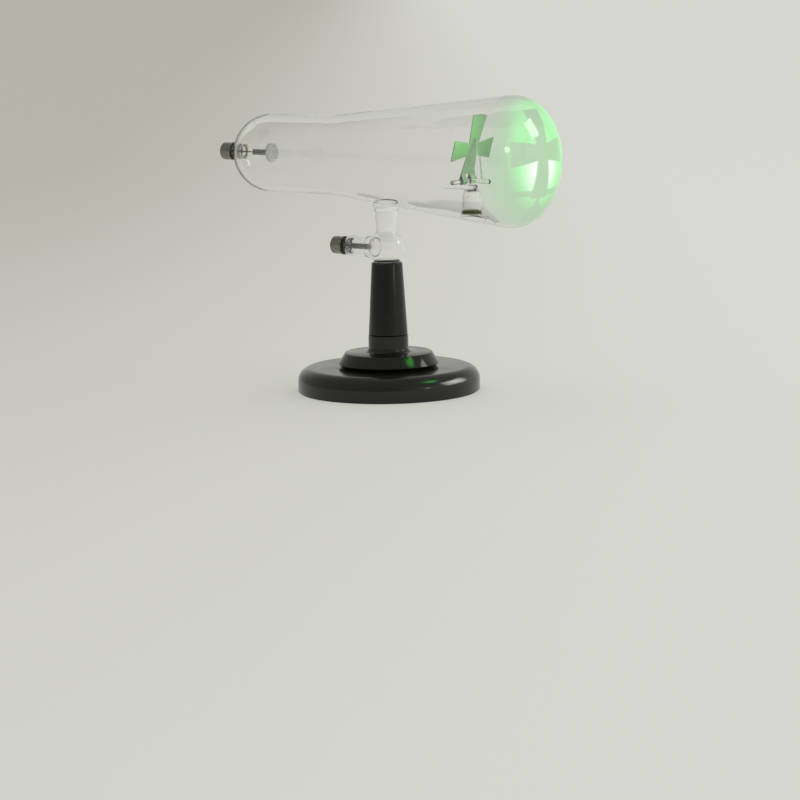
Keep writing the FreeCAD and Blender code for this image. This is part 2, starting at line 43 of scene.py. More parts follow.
# shader values: sums on a Wire add Math nodes
class Wire:
    def __init__(self, finish, socket):
        self.finish, self.socket = finish, socket

    def sum(self, operation, *others):
        return self.finish.node("Math", {"operation": operation}, *others)

    def __add__(self, other):
        return self.sum("ADD", self, other)

    def __sub__(self, other):
        return self.sum("SUBTRACT", self, other)

    def __rsub__(self, other):
        return self.sum("SUBTRACT", other, self)

    def __mul__(self, other):
        return self.sum("MULTIPLY", self, other)

    def __rtruediv__(self, other):
        return self.sum("DIVIDE", other, self)

    def __pow__(self, other):
        return self.sum("POWER", self, other)

    def __abs__(self):
        return self.sum("ABSOLUTE", self)

    __radd__ = __add__
    __rmul__ = __mul__


class Finish:
    def __init__(self, name, colour, roughness, **fixed):
        self.material = bpy.data.materials.new(name)
        self.material.use_nodes = True
        self.tree = self.material.node_tree
        self.shader = self.tree.nodes["Principled BSDF"]
        self.output = self.tree.nodes["Material Output"]
        self.shader.inputs["Base Color"].default_value = (*colour, 1)
        self.shader.inputs["Roughness"].default_value = roughness
        for key, value in fixed.items():
            self.shader.inputs[key.replace("_", " ")].default_value = value

    def node(self, kind, settings, *inputs, out=0, **named):
        node = self.tree.nodes.new("ShaderNode" + kind)
        for name, value in settings.items():
            setattr(node, name, value)
        feeds = list(enumerate(inputs)) + [(key.replace("_", " "), value) for key, value in named.items()]
        for key, value in feeds:
            if isinstance(value, Wire):
                self.tree.links.new(value.socket, node.inputs[key])
            else:
                node.inputs[key].default_value = value
        return Wire(self, node.outputs[out])

    def feed(self, name, wire):
        self.tree.links.new(wire.socket, self.shader.inputs[name])

    def place(self):
        return self.node("TexCoord", {}, out="Object")

    def spot(self):
        split = self.node("SeparateXYZ", {}, self.place())
        return [Wire(self, split.socket.node.outputs[axis]) for axis in range(3)]

    def noise(self, scale, detail=3.0, vector=None):
        return self.node("TexNoise", {}, Vector=vector or self.place(), Scale=scale, Detail=detail)

    def step(self, value, low, high, toLow=0.0, toHigh=1.0):
        return self.node("MapRange", {"interpolation_type": "SMOOTHSTEP"}, value, low, high, toLow, toHigh)

    def fall(self, value, low, high):
        return self.step(value, low, high, 1.0, 0.0)

    def blend(self, share, first, second):
        mix = self.tree.nodes.new("ShaderNodeMix")
        mix.data_type = "RGBA"
        for key, value in (("Factor", share), ("A", first), ("B", second)):
            socket = next(s for s in mix.inputs if s.name == key and (key == "Factor" or s.type == "RGBA"))
            if isinstance(value, Wire):
                self.tree.links.new(value.socket, socket)
            else:
                socket.default_value = value if key == "Factor" else (*value, 1)
        return Wire(self, next(s for s in mix.outputs if s.type == "RGBA"))

    def bump(self, height, distance, strength=1.0):
        self.feed("Normal", self.node("Bump", {}, Height=height, Distance=distance, Strength=strength))


# shape helpers: outlines in millimetres, turned about the tube's line or the stand's line
smoothAngle = 40
# in metres, how near two corners are merged
merge = {"seam": 1e-7, "point": 1e-8, "joint": 2e-6, "bevel": 3e-6}


def linkMesh(bm, name, angle=smoothAngle):
    mesh = bpy.data.meshes.new(name)
    bm.to_mesh(mesh)
    bm.free()
    mesh.shade_smooth()
    mesh.set_sharp_from_angle(angle=math.radians(angle))
    piece = bpy.data.objects.new(name, mesh)
    bpy.context.scene.collection.objects.link(piece)
    return piece


def arc(centre, radius, start, end, count):
    turn = [math.radians(start + (end - start) * i / count) for i in range(count + 1)]
    return [(centre[0] + radius * math.cos(t), centre[1] + radius * math.sin(t)) for t in turn]


def flip(points):
    return [(up, out) for out, up in points]


def closeSet(points, reach):
    # more corners on the long straights, so that the glass bends light truly beside a joint
    filled = points[:1]
    for (x, r), (nextX, nextR) in zip(points, points[1:]):
        count = math.ceil(math.hypot(nextX - x, nextR - r) / reach)
        filled += [(x + (nextX - x) * i / count, r + (nextR - r) * i / count) for i in range(1, count + 1)]
    return filled


def turnedForm(outline, closed, axis, centre=(0, 0, 0), steps=96):
    # outline corners are (along the axis, out from it)
    bm = bmesh.new()
    along = Vector(axis)
    out = Vector((0, -1, 0)) if axis[0] else Vector((1, 0, 0))
    verts = [bm.verts.new((Vector(centre) + along * a + out * r) * mm) for a, r in outline]
    edges = [bm.edges.new(pair) for pair in zip(verts, verts[1:])]
    if closed:
        edges.append(bm.edges.new((verts[-1], verts[0])))
    bmesh.ops.spin(bm, geom=verts + edges, cent=Vector(centre) * mm, axis=along,
                   angle=2 * math.pi, steps=steps, use_merge=True, use_duplicate=False)
    bmesh.ops.remove_doubles(bm, verts=bm.verts, dist=merge["seam"])
    bmesh.ops.dissolve_degenerate(bm, edges=bm.edges, dist=merge["point"])
    bmesh.ops.delete(bm, geom=[edge for edge in bm.edges if not edge.link_faces], context="EDGES")
    bmesh.ops.recalc_face_normals(bm, faces=bm.faces)
    return bm


def lyingForm(outline, height, closed=False, steps=96):
    return turnedForm(outline, closed, (1, 0, 0), (0, 0, height), steps)


def standingForm(outline, closed=False, steps=96, along=0.0):
    return turnedForm(outline, closed, (0, 0, 1), (along, 0, 0), steps)


def carve(piece, tool, operation):
    change = piece.modifiers.new("join", "BOOLEAN")
    change.operation, change.solver, change.object = operation, "EXACT", tool
    shaped = bpy.data.meshes.new_from_object(piece.evaluated_get(bpy.context.evaluated_depsgraph_get()))
    piece.modifiers.clear()
    old, piece.data = piece.data, shaped
    bpy.data.meshes.remove(old)
    bpy.data.objects.remove(tool)
    healed = bmesh.new()
    healed.from_mesh(shaped)
    bmesh.ops.remove_doubles(healed, verts=healed.verts, dist=merge["joint"])
    healed.to_mesh(shaped)
    healed.free()
    return piece


def finishPiece(piece, finish, body, nodes, slot):
    piece.data.materials.clear()
    piece.data.materials.append(finish.material)
    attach(piece, body)
    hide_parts(*nodes)
    return piece


# camera at the photograph's place
camera = {
    "place": (1129.2, -1514.1, 292.3), "down": 8.97, "turn": 36.492, "roll": -1.011, "lens": 134.86,
    "sensor": 36, "shift": -1, "photo": 800, "clip": (0.05, 60),
}
view = bpy.data.objects.new("camera", bpy.data.cameras.new("camera"))
bpy.context.scene.collection.objects.link(view)
aim = Euler((math.radians(90 - camera["down"]), 0, math.radians(camera["turn"]))).to_matrix()
aim = aim @ Matrix.Rotation(math.radians(camera["roll"]), 3, "Z")
view.matrix_world = Matrix.Translation(Vector(camera["place"]) * mm) @ aim.to_4x4()
view.data.lens, view.data.sensor_width = camera["lens"], camera["sensor"]
view.data.shift_x = view.data.shift_y = camera["shift"] / camera["photo"]
view.data.clip_start, view.data.clip_end = camera["clip"]
bpy.context.scene.camera = view


# glass: one blown body, whose wall is what is left between its outer and inner forms
tube = {
    "height": 148.7, "pole": -116.2, "dome": 121.7, "barrel": 25.1, "slope": 6.4, "widest": 40.6,
    "shoulder": 18.0, "crown": 60.0, "wall": 1.1, "poleWall": 1.5, "waistBend": 110.0,
    "nipple": 4.6, "nippleEnd": -128.8, "nippleRoot": 1.1, "nippleBore": 3.4, "nippleFloor": -124.6,
    "steps": 192, "ringReach": 3.5,
}
lower = {
    "pegEnd": 62.0, "peg": 8.1, "pegRound": 2.2, "pegFloor": 2.2, "ball": 11.7, "ballHeight": 91.2, "wall": 0.9,
    "neck": 6.35, "neckFillet": 2.4, "neckTop": 7.1, "weld": 7.9, "weldHeight": 115.6, "steps": 96,
    "boreRound": 2.5, "boreTop": 126.0, "arm": 6.65, "armRing": 7.05, "armRingAt": -12.9, "ringHalf": 1.4,
    "ringEase": 0.1, "armNipple": 4.6, "armEnd": -39.4, "shoulderFrom": -24.5, "shoulderTo": -33.0,
    "shoulderPower": 0.9, "sealAt": -29.5, "tip": 2.4, "tipEnd": 0.9, "tipLength": 4.5,
}
bell = {
    "along": 66.2, "radius": 5.9, "wall": 1.3, "top": 130.7, "crown": 3.4, "drop": 4.6,
    "waist": 118.4, "foot": 9.6, "flare": 7.0, "steps": 72,
}


def tubeOutline(inset):
    # from the cathode end's pole to the middle of the dome, as the outer skin moved in
    slope = math.radians(tube["slope"])
    barrel, shoulder, crown = (tube[k] - inset for k in ("barrel", "shoulder", "crown"))
    pole = tube["pole"] + (tube["poleWall"] if inset else 0)
    crownAt = tube["dome"] - tube["crown"]
    less = tube["crown"] - tube["shoulder"]
    out = tube["widest"] - tube["shoulder"]
    shoulderAt = crownAt + math.sqrt(less * less - out * out)
    meet = math.degrees(math.atan2(out, shoulderAt - crownAt))
    coneEnd = (shoulderAt - shoulder * math.sin(slope), out + shoulder * math.cos(slope))
    bendAt = coneEnd[0] - (coneEnd[1] - barrel) / math.tan(slope)
    bend = tube["waistBend"]
    half = bend * math.tan(slope / 2)
    points = arc((pole + barrel, 0), barrel, 180, 90, 60)
    points += arc((bendAt - half, barrel + bend), bend, -90, -90 + tube["slope"], 8)
    points += arc((shoulderAt, out), shoulder, 90 + tube["slope"], meet, 26)
    points += arc((crownAt, 0), crown, meet, 0, 26)[1:]
    return closeSet(points, tube["ringReach"])


def ballOutline(inset):
    # (up, out) round the blown ball from the peg, then through the fillet into the neck
    ball, peg, neck = (lower[k] - inset for k in ("ball", "peg", "neck"))
    fillet = lower["neckFillet"] + inset
    rise = math.sqrt((ball + fillet) ** 2 - (neck + fillet) ** 2)
    meet = math.degrees(math.atan2(rise, neck + fillet))
    skin = arc((0, lower["ballHeight"]), ball, -math.degrees(math.acos(peg / ball)), meet, 26)
    skin += arc((neck + fillet, lower["ballHeight"] + rise), fillet, 180 + meet, 180, 8)[1:]
    return flip(skin)


def armOutline(far, near, thin, arm, ring, shares, end):
    # (along, out) from the arm's drawn-in shoulder, over its weld ring, to the ball
    at, half, ease = lower["armRingAt"], lower["ringHalf"], lower["ringEase"]
    skin = [(far + (near - far) * t, thin + (arm - thin) * math.sin(t * math.pi / 2) ** lower["shoulderPower"])
            for t in shares]
    skin += [(near, arm), (at - half, arm), (at - half / 2, ring - ease), (at, ring)]
    return skin + [(at + half / 2, ring - ease), (at + half, arm), (end, arm), (end, 0)]


def glassOuter():
    end, slim, root = tube["nippleEnd"], tube["nipple"], tube["nippleRoot"]
    start = tube["pole"] + tube["barrel"] - math.sqrt(tube["barrel"] ** 2 - slim ** 2)
    skin = [(end, 0), (end, slim - 0.5), (end + 0.5, slim), (start - root, slim)]
    skin += [(start - root * 0.35, slim + root * 0.2)]
    skin += [p for p in tubeOutline(0) if p[1] > slim + root * 0.9] + [(tube["dome"], 0)]
    body = linkMesh(lyingForm(skin, tube["height"], steps=tube["steps"]), "glassBody")
    low, turn = lower["pegEnd"], lower["pegRound"]
    post = [(low - lower["tipLength"], 0), (low - lower["tipLength"], lower["tipEnd"]), (low, lower["tip"])]
    post += flip(arc((lower["peg"] - turn, low + turn), turn, -90, 0, 6)) + ballOutline(0)
    weld, neck, out = lower["weldHeight"], lower["neckTop"], lower["weld"]
    post += [(weld - 4, neck - 0.15), (weld - 1.2, neck + 0.1), (weld - 0.2, out - 0.35), (weld + 0.9, out)]
    post += [(weld + 2.2, out + 0.05), (weld + 9, out), (weld + 9, 0)]
    carve(body, linkMesh(standingForm(post, steps=lower["steps"]), "post"), "UNION")
    far, near, thin = lower["shoulderTo"], lower["shoulderFrom"], lower["armNipple"]
    limb = [(lower["armEnd"], 0), (lower["armEnd"], thin - 0.4), (lower["armEnd"] + 0.4, thin), (far, thin)]
    shares = (0.08, 0.2, 0.35, 0.5, 0.65, 0.8, 0.92)
    limb += armOutline(far, near, thin, lower["arm"], lower["armRing"], shares, -2)
    return carve(body, linkMesh(lyingForm(limb, lower["ballHeight"], steps=lower["steps"]), "limb"), "UNION")


def bellOutline(inset):
    # (up, out) from the flare to the crown
    radius, drop, top = bell["radius"] - inset, bell["drop"], bell["top"] - inset
    low, spread = bell["waist"] - bell["flare"], bell["foot"] - bell["radius"]
    points = [(low - 4, bell["foot"] - inset + 3.2), (low, bell["foot"] - inset)]
    points += [(low + bell["flare"] * t, radius + spread * (1 - t) ** 2) for t in (0.2, 0.4, 0.6, 0.8, 1.0)]
    crown = bell["crown"] - inset * 0.5
    points += [(top - drop + drop * math.sin(t), crown + (radius - crown) * math.cos(t))
               for t in (0, 0.25, 0.5, 0.75, 1.0, 1.25, math.pi / 2)]
    return points + [(top, 0)]


def glassInner():
    space = linkMesh(lyingForm(tubeOutline(tube["wall"]), tube["height"], steps=tube["steps"]), "space")
    floor, slim, pole = tube["nippleFloor"], tube["nippleBore"], tube["pole"] + tube["poleWall"]
    way = [(floor, 0), (floor, slim * 0.55), (floor + 0.3, slim * 0.85), (floor + 1.0, slim)]
    way += [(pole - 1.6, slim), (pole - 0.5, slim + 0.3), (pole + 0.5, slim + 1.0), (pole + 1.2, slim + 1.0)]
    way += [(pole + 1.2, 0)]
    carve(space, linkMesh(lyingForm(way, tube["height"], steps=tube["steps"]), "nippleWay"), "UNION")
    solid = [(bell["waist"] - bell["flare"] - 4, 0)] + bellOutline(0)
    bellForm = linkMesh(standingForm(solid, steps=bell["steps"], along=bell["along"]), "bellForm")
    carve(space, bellForm, "DIFFERENCE")
    wall, turn, low = lower["wall"], lower["boreRound"], lower["pegEnd"] + lower["pegFloor"]
    bore = [(low, 0)] + flip(arc((lower["peg"] - wall - turn, low + turn), turn, -90, 0, 6)) + ballOutline(wall)
    weld, top, out = lower["weldHeight"], lower["neckTop"] - wall, lower["weld"] - wall
    bore += [(weld - 4, top - 0.15), (weld - 1.2, top + 0.1), (weld + 0.6, out - 0.3)]
    bore += [(lower["boreTop"], out), (lower["boreTop"], 0)]
    carve(space, linkMesh(standingForm(bore, steps=lower["steps"]), "bore"), "UNION")
    seal, arm, ring = lower["sealAt"], lower["arm"] - wall, lower["armRing"] - wall
    far, near, thin = lower["shoulderTo"] + wall * 0.8, lower["shoulderFrom"] + 0.3, lower["armNipple"] - wall
    hollow = [(seal, 0), (seal, thin * 0.5), (seal + 0.5, thin)]
    hollow += armOutline(far, near, thin, arm, ring, (0.55, 0.65, 0.8, 0.92), -1)
    limbSpace = linkMesh(lyingForm(hollow, lower["ballHeight"], steps=lower["steps"]), "hollow")
    return carve(space, limbSpace, "UNION")


# glass rods on the stem: the rest arm, the hinge bar with its post, and the arm with the stop rod
rods = {
    "hinge": (63.5, 0.0, 135.9), "bar": 1.35, "barReach": 17.5, "post": 1.5,
    "restArm": 1.6, "restFrom": 45.0, "restTo": 69.8, "restHeight": 131.95, "stopArm": 1.4, "stopArmEnd": 80.6,
    "stopFoot": (72.3, 0.0, 135.9), "stopTip": (70.59, 0.0, 161.95),
    "footRadius": 1.8, "tipRadius": 0.9, "steps": 40,
}


def roundRod(start, end, radius, name, tip=None):
    # a drawn glass rod with fire-polished ends; tip gives a thinner far end
    start, end = Vector(start), Vector(end)
    length, tip = (end - start).length, radius if tip is None else tip
    outline = arc((radius, 0), radius, 180, 90, 8) + arc((length - tip, 0), tip, 90, 0, 8)
    rod = turnedForm(outline, False, (1, 0, 0), steps=rods["steps"])
    turn = Vector((1, 0, 0)).rotation_difference(end - start).to_matrix().to_4x4()
    bmesh.ops.transform(rod, matrix=Matrix.Translation(start * mm) @ turn, verts=rod.verts)
    return linkMesh(rod, name)


def rodFrame():
    hx, hz = rods["hinge"][::2]
    rest, reach = rods["restHeight"], rods["barReach"]
    frameGlass = roundRod((rods["restFrom"], 0, rest), (rods["restTo"], 0, rest), rods["restArm"], "restArm")
    others = [
        roundRod((hx, -reach, hz), (hx, reach, hz), rods["bar"], "hingeBar"),
        roundRod((hx, 0, rest), (hx, 0, hz), rods["post"], "hingePost"),
        roundRod((hx, 0, hz), (rods["stopArmEnd"], 0, hz), rods["stopArm"], "stopArm"),
        roundRod(rods["stopFoot"], rods["stopTip"], rods["footRadius"], "stopRod", rods["tipRadius"]),
    ]
    for other in others:
        carve(frameGlass, other, "UNION")
    return frameGlass


def blowGlass():
    body = carve(glassOuter(), glassInner(), "DIFFERENCE")
    hollow = [(bell["waist"] - bell["flare"] - 6, 0)] + bellOutline(bell["wall"])
    stemSpace = standingForm(hollow, steps=bell["steps"], along=bell["along"])
    carve(body, linkMesh(stemSpace, "stemSpace"), "DIFFERENCE")
    carve(body, rodFrame(), "UNION")
    body.data.set_sharp_from_angle(angle=math.radians(smoothAngle))
    return body


glassBody = blowGlass()
print("glass blown:", len(glassBody.data.polygons), "faces")


# clear glass lets the lamps shine through it, without bent-light noise
def lampsPass(finish, tint):
    clear = finish.node("BsdfTransparent", {}, Color=(*tint, 1))
    shade = finish.node("LightPath", {}, out="Is Shadow Ray")
    mixed = finish.node("MixShader", {}, shade, Wire(finish, finish.shader.outputs[0]), clear)
    finish.tree.links.new(mixed.socket, finish.output.inputs["Surface"])


def blownGlass(name, **fixed):
    # drawn glass has faint cords along it and a few seeds in its wall
    finish = Finish(name, (1, 1, 1), 0.0, Transmission_Weight=1.0, IOR=1.49, **fixed)
    lampsPass(finish, (0.94, 0.95, 0.94))
    drawn = finish.node("Mapping", {}, Vector=finish.place(), Scale=(0.25, 1, 1))
    cords = finish.noise(70, 2.0, drawn) + finish.noise(22, 1.0) * 2
    finish.bump(cords, 0.00012, 0.3)
    dust = finish.step(finish.noise(420, 4.0), 0.62, 0.8)
    finish.feed("Roughness", dust * 0.06)
    return finish


glassFinish = blownGlass("clearGlass")
seal = {
    "along": 66.2, "height": 116.6, "half": (0.7, 1.7), "out": (4.0, 5.0, 9.0, 10.0),
    "colour": (0.16, 0.15, 0.05),
    "root": -116.4, "rootHalf": (0.5, 1.3), "rootOut": (5.0, 5.9),
}


def sealRings(finish):
    # the stem's foot is joined with a band of darker sealing glass; a darker band also runs round the nipple's root
    x, y, z = (value * 1000 for value in finish.spot())
    high = z - tube["height"]
    root = finish.fall(abs(x - seal["root"]), *seal["rootHalf"])
    root = root * finish.fall((high * high + y * y) ** 0.5, *seal["rootOut"])
    x = x - seal["along"]
    out = (x * x + y * y) ** 0.5
    band = finish.fall(abs(z - seal["height"]), *seal["half"])
    band = band * finish.step(out, *seal["out"][:2]) * finish.fall(out, *seal["out"][2:])
    finish.feed("Base Color", finish.blend(band + root, (1, 1, 1), seal["colour"]))


sealRings(glassFinish)
screenFinish = blownGlass("glowingGlass", Emission_Strength=1.0)

# the cross's form, which its shadow on the screen end follows
cross = {
    "hinge": rods["hinge"], "lean": 15.8, "middle": 19.85, "up": 22.35, "side": 20.0,
    "curlInner": 1.45, "curlOuter": 2.05, "hem": 0.85, "hemEnd": 5.7, "curlAngle": 45.0,
    "waist": 4.15, "topHalf": 6.3, "sideHalf": 6.6, "footHalf": 6.9, "notch": 2.4, "notchTop": 4.2,
    "edge": 0.1, "edgeAngle": 50, "cutReach": 9,
}

# the screen end glows where rays from the source pass the cross, the bar and the stem
glow = {
    "source": (-115.0, 8.3, 152.8), "post": 1.7, "stemTop": (-9.0, -4.8), "barShade": 0.9, "stemShade": 0.85,
    "edge": 0.5, "core": (4.0, 17.0), "coreDrop": 8.0, "narrow": 1.25, "fade": (19.0, 31.0), "least": 0.15,
    "start": (92.0, 116.0), "tintStart": (90.0, 120.0), "from": 90.0,
    # the ring values paint extra brightness on the dome's shoulder, for the glowing wall seen edge-on
    "ring": (102.0, 109.0, 115.0, 120.0), "paintedRimGain": 0.75, "paintedRimSide": (0.75, 0.65), "paintedRimTurn": (-8.0, 28.0),
    "tint": (0.70, 0.93, 0.70), "dark": (0.008, 0.035, 0.008), "outer": (0.012, 0.17, 0.028),
    "inner": (0.32, 0.27, 0.32),
}


def glowColour(finish):
    c, lean = cross, math.radians(cross["lean"])
    sx, sy, sz = glow["source"]
    hx, hz = c["hinge"][::2]
    x, y, z = (value * 1000 for value in finish.spot())
    dx, dy, dz = x - sx, y - sy, z - sz
    # where the ray from the source meets the leaning cross
    reach = (hx - sx) * math.cos(lean) - (hz - sz) * math.sin(lean)
    reach = reach / (dx * math.cos(lean) - dz * math.sin(lean))
    across = abs(reach * dy + sy)
    height = (reach * dx + (sx - hx)) * math.sin(lean) + (reach * dz + (sz - hz)) * math.cos(lean) - c["middle"]
    level = abs(height)
    soft, waist = glow["edge"], c["waist"]
    topGain = (c["topHalf"] - waist) / (c["up"] - waist)
    sideGain = (c["sideHalf"] - waist) / (c["side"] - waist)

    def inside(value, limit):
        return finish.step(limit - value, -soft, soft)

    def within(value, limit):
        return finish.fall(value, limit - soft, limit + soft)

    upright = inside(across, level * topGain + (waist - waist * topGain)) * within(level, c["up"])
    arms = inside(level, across * sideGain + (waist - waist * sideGain)) * within(across, c["side"])
    # the bar and the stem stand upright below the cross
    farther = (hx - sx) / dx
    wide, high = abs(farther * dy + sy), farther * dz + (sz - hz)
    bar = within(abs(high), rods["bar"]) * within(wide, rods["barReach"])
    neck = finish.step(high, *glow["stemTop"], bell["radius"], glow["post"])
    stem = inside(wide, neck) * finish.fall(high, -soft, soft)
    lit = (1 - upright) * (1 - arms) * (1 - bar * glow["barShade"]) * (1 - stem * glow["stemShade"])
    lowered = height + glow["coreDrop"]
    core = finish.fall((across * across + lowered * lowered) ** 0.5, *glow["core"])
    wide = across * glow["narrow"]
    fade = finish.fall((wide * wide + height * height) ** 0.5, *glow["fade"])
    # painted brightening: extra glow on the shoulder's ring, strongest on its upper far side, for the glowing wall
    # seen edge-on from the camera
    ring = finish.step(x, *glow["ring"][:2]) * finish.fall(x, *glow["ring"][2:]) * glow["paintedRimGain"]
    side, up = glow["paintedRimSide"]
    ring = ring * finish.step(y * side + (z - tube["height"]) * up, *glow["paintedRimTurn"])
    least = glow["least"]
    begins = finish.step(x, *glow["start"]) * (least + (1 - least) * fade + ring * (1 - fade))
    shine = finish.blend(core, glow["outer"], glow["inner"])
    finish.feed("Emission Color", finish.blend(begins, (0, 0, 0), finish.blend(lit, glow["dark"], shine)))
    finish.feed("Base Color", finish.blend(finish.step(x, *glow["tintStart"]), (1, 1, 1), glow["tint"]))


glowColour(screenFinish)
glassBody.data.materials.clear()
for finish in (glassFinish, screenFinish):
    glassBody.data.materials.append(finish.material)
for face in glassBody.data.polygons:
    face.material_index = 1 if face.center.x > glow["from"] * mm else 0
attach(glassBody, "instrument")
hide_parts("glass_envelope", "glass_neck", "glass_bulb", "side_arm", "cross_stem", "pump_tip",
            "rest_arm", "hinge_bar", "hinge_post", "stop_arm", "stop_rod")
print("glass finished")


# stand: polished black resin, turned outlines as (up, out)
stand = {
    "base": 58.0, "baseLow": 0.8, "baseTop": 15.8, "edge": 8.5, "wall": 3.2, "ledge": 56.6, "ledgeAt": 2.0,
    "boss": 9.0, "bossFace": 9.8, "hole": 2.75,
    "plinth": (30.2, 32.1, 27.8), "girthAt": 2.2, "plinthTop": 25.0,
    "collar": 12.7, "fillet": 3.0, "collarTop": 36.0, "bore": 9.1, "floor": 19.8, "groove": 0.45,
    "columnLow": 20.1, "spigot": 9.0, "foot": 12.4, "tip": 9.8, "columnTop": 82.0, "rim": 0.6,
    "pegBore": 8.75, "pegBoreLow": 55.0, "insertHole": 3.75, "insertTop": 33.6, "steps": 180,
    "smoothAngle": 30,
}


def buildStand():
    s = stand
    low, top, edge, wall = s["baseLow"], s["baseTop"], s["edge"], s["wall"]
    base = [(low + 0.35, s["base"]), (low + 0.1, s["base"] - 0.1), (low, s["base"] - 0.35),
            (low, s["ledge"] + 0.2), (low + 0.2, s["ledge"]),
            (s["ledgeAt"], s["ledge"]), (s["ledgeAt"], s["base"] - wall)]
    base += flip(arc((s["base"] - edge, top - edge), edge - wall, 0, 90, 10))
    base += [(top - wall, s["boss"] + 0.5), (top - wall - 0.5, s["boss"]), (s["bossFace"] + 0.3, s["boss"]),
             (s["bossFace"], s["boss"] - 0.3), (s["bossFace"], s["hole"]), (top, s["hole"])]
    base += flip(arc((s["base"] - edge, top - edge), edge, 90, 0, 20))
    foot, girth, crown = s["plinth"]
    belt, plinthTop = top + s["girthAt"], s["plinthTop"]
    socket = [(top, s["hole"]), (top, foot - 0.2), (top + 0.25, foot)]
    socket += [(belt - 0.5, girth - 0.42), (belt, girth - 0.05), (belt + 0.4, girth - 0.2)]
    socket += [(plinthTop - 0.7, crown + 0.28), (plinthTop - 0.2, crown - 0.05), (plinthTop, crown - 0.6)]
    socket += flip(arc((s["collar"] + s["fillet"], plinthTop + s["fillet"]), s["fillet"], 270, 180, 8))
    seat, groove = s["collarTop"], s["groove"]
    socket += [(seat - groove, s["collar"]), (seat - 0.1, s["collar"] - 0.3)]
    socket += [(seat, s["collar"] - groove - 0.1), (seat, s["bore"]), (s["floor"], s["bore"]), (s["floor"], s["hole"])]
    column = [(s["columnLow"], s["insertHole"]), (s["columnLow"], s["spigot"] - 0.4),
              (s["columnLow"] + 0.4, s["spigot"]), (seat, s["spigot"]), (seat, s["foot"] - groove - 0.1),
              (seat + 0.1, s["foot"] - 0.3), (seat + groove, s["foot"])]
    column += flip(arc((s["tip"] - s["rim"], s["columnTop"] - s["rim"]), s["rim"], 10, 90, 5))
    column += [(s["columnTop"], s["pegBore"] + 0.25), (s["columnTop"] - 0.25, s["pegBore"])]
    column += [(s["pegBoreLow"], s["pegBore"]), (s["pegBoreLow"], 0), (s["insertTop"], 0)]
    column += [(s["insertTop"], s["insertHole"])]
    for name, node, outline in (
            ("baseDisc", "base_disc", base),
            ("socketPlinth", "column_socket", socket),
            ("taperColumn", "column", column)):
        form = standingForm(outline, closed=True, steps=s["steps"])
        piece = linkMesh(form, name, s["smoothAngle"])
        yield finishPiece(piece, resins[node], "instrument", [node], "black_resin")


def resinFinish(name, low, high, shine):
    deep, pale = (0.004, 0.004, 0.0035), (0.10, 0.095, 0.085)
    finish = Finish(name, deep, low, Specular_IOR_Level=shine)
    haze = finish.noise(60, 5.0)
    specks = finish.step(finish.noise(900, 2.0), 0.66, 0.78)
    finish.feed("Roughness", finish.step(haze, 0.35, 0.75, low, high) + specks * 0.2)
    finish.feed("Base Color", finish.blend(specks * 0.2, deep, pale))
    finish.bump(finish.noise(45, 2.0), 0.00025, 0.08)
    return finish


resins = {
    "base_disc": resinFinish("blackResin", 0.1, 0.22, 0.5),
    "column_socket": resinFinish("socketResin", 0.1, 0.22, 0.45),
    "column": resinFinish("columnResin", 0.2, 0.32, 0.38),
}
for piece in buildStand():
    print("stand:", piece.name)


# terminals: nickel caps cemented over the glass nipples, lead wires soldered into them
terminal = {
    "cathode": {"end": -131.0, "height": 148.7, "wireTo": -102.6},
    "anode": {"end": -41.6, "height": 91.2, "wireTo": -23.4},
    "length": 8.6, "radius": 5.7, "sheet": 0.5, "edge": 1.2, "rimOut": 0.3, "rimWide": 1.1,
    "hole": 0.6, "nipple": 4.62, "wire": 0.5, "bead": 1.5, "beadHeight": 0.9, "steps": 96, "wireSteps": 24,
}
electrode = {
    "sleeve": (-111.9, -105.6, 1.9), "rod": (-105.6, -91.7, 1.85), "disc": (-91.7, -90.5, 6.25),
    "anodeRod": (-26.4, -14.0, 1.75), "bore": 0.52, "socket": 3.0, "edge": 0.25, "sleeveEdge": 0.7,
    "dish": 0.12, "rim": 0.3, "steps": 96, "discSteps": 120, "marks": 26000, "lean": 1.7,
}


def mottledMetal(name, dull, bright, rough, grain, detail=4.0, depth=0.00003, strength=0.5):
    # a dull film lies in patches over bright metal
    finish = Finish(name, bright, rough[0], Metallic=1.0)
    film = finish.noise(grain, detail)
    finish.feed("Base Color", finish.blend(film, dull, bright))
    finish.feed("Roughness", finish.step(film, 0.3, 0.7, *rough))
    finish.bump(film, depth, strength)
    return finish


def nickelFinish():
    plate, worn = (0.25, 0.245, 0.215), (0.10, 0.09, 0.07)
    finish = Finish("nickelPlate", plate, 0.14, Metallic=1.0)
    smears = finish.noise(240, 5.0)
    tarnish = finish.step(finish.noise(520, 4.0), 0.5, 0.72)
    finish.feed("Base Color", finish.blend(tarnish * 0.6, plate, worn))
    finish.feed("Roughness", finish.step(smears, 0.3, 0.7, 0.1, 0.22) + tarnish * 0.12)
    finish.bump(finish.noise(700, 3.0), 0.00003, 0.5)
    return finish


def cementFinish():
    finish = Finish("darkCement", (0.05, 0.043, 0.034), 0.8)
    grain = finish.noise(1500, 6.0)
    finish.feed("Base Color", finish.blend(grain, (0.022, 0.019, 0.015), (0.085, 0.073, 0.058)))
    finish.feed("Roughness", finish.step(grain, 0.2, 0.8, 0.62, 0.92))
    finish.bump(grain, 0.00015, 0.6)
    return finish


def turnedAluminium(name, dull, bright):
    # fine tool marks run in rings round the tube's line
    finish = Finish(name, bright, 0.28, Metallic=1.0)
    x, y, z = finish.spot()
    z = z - terminal["cathode"]["height"] * mm
    ring = ((y * y + z * z) ** 0.5 + x * electrode["lean"]) * electrode["marks"]
    marks = finish.node("Math", {"operation": "SINE"}, ring)
    stain = finish.noise(330, 4.0)
    finish.feed("Base Color", finish.blend(stain, dull, bright))
    finish.feed("Roughness", finish.step(stain, 0.3, 0.7, 0.2, 0.38) + marks * 0.03)
    finish.bump(marks, 0.000012, 0.7)
    return finish


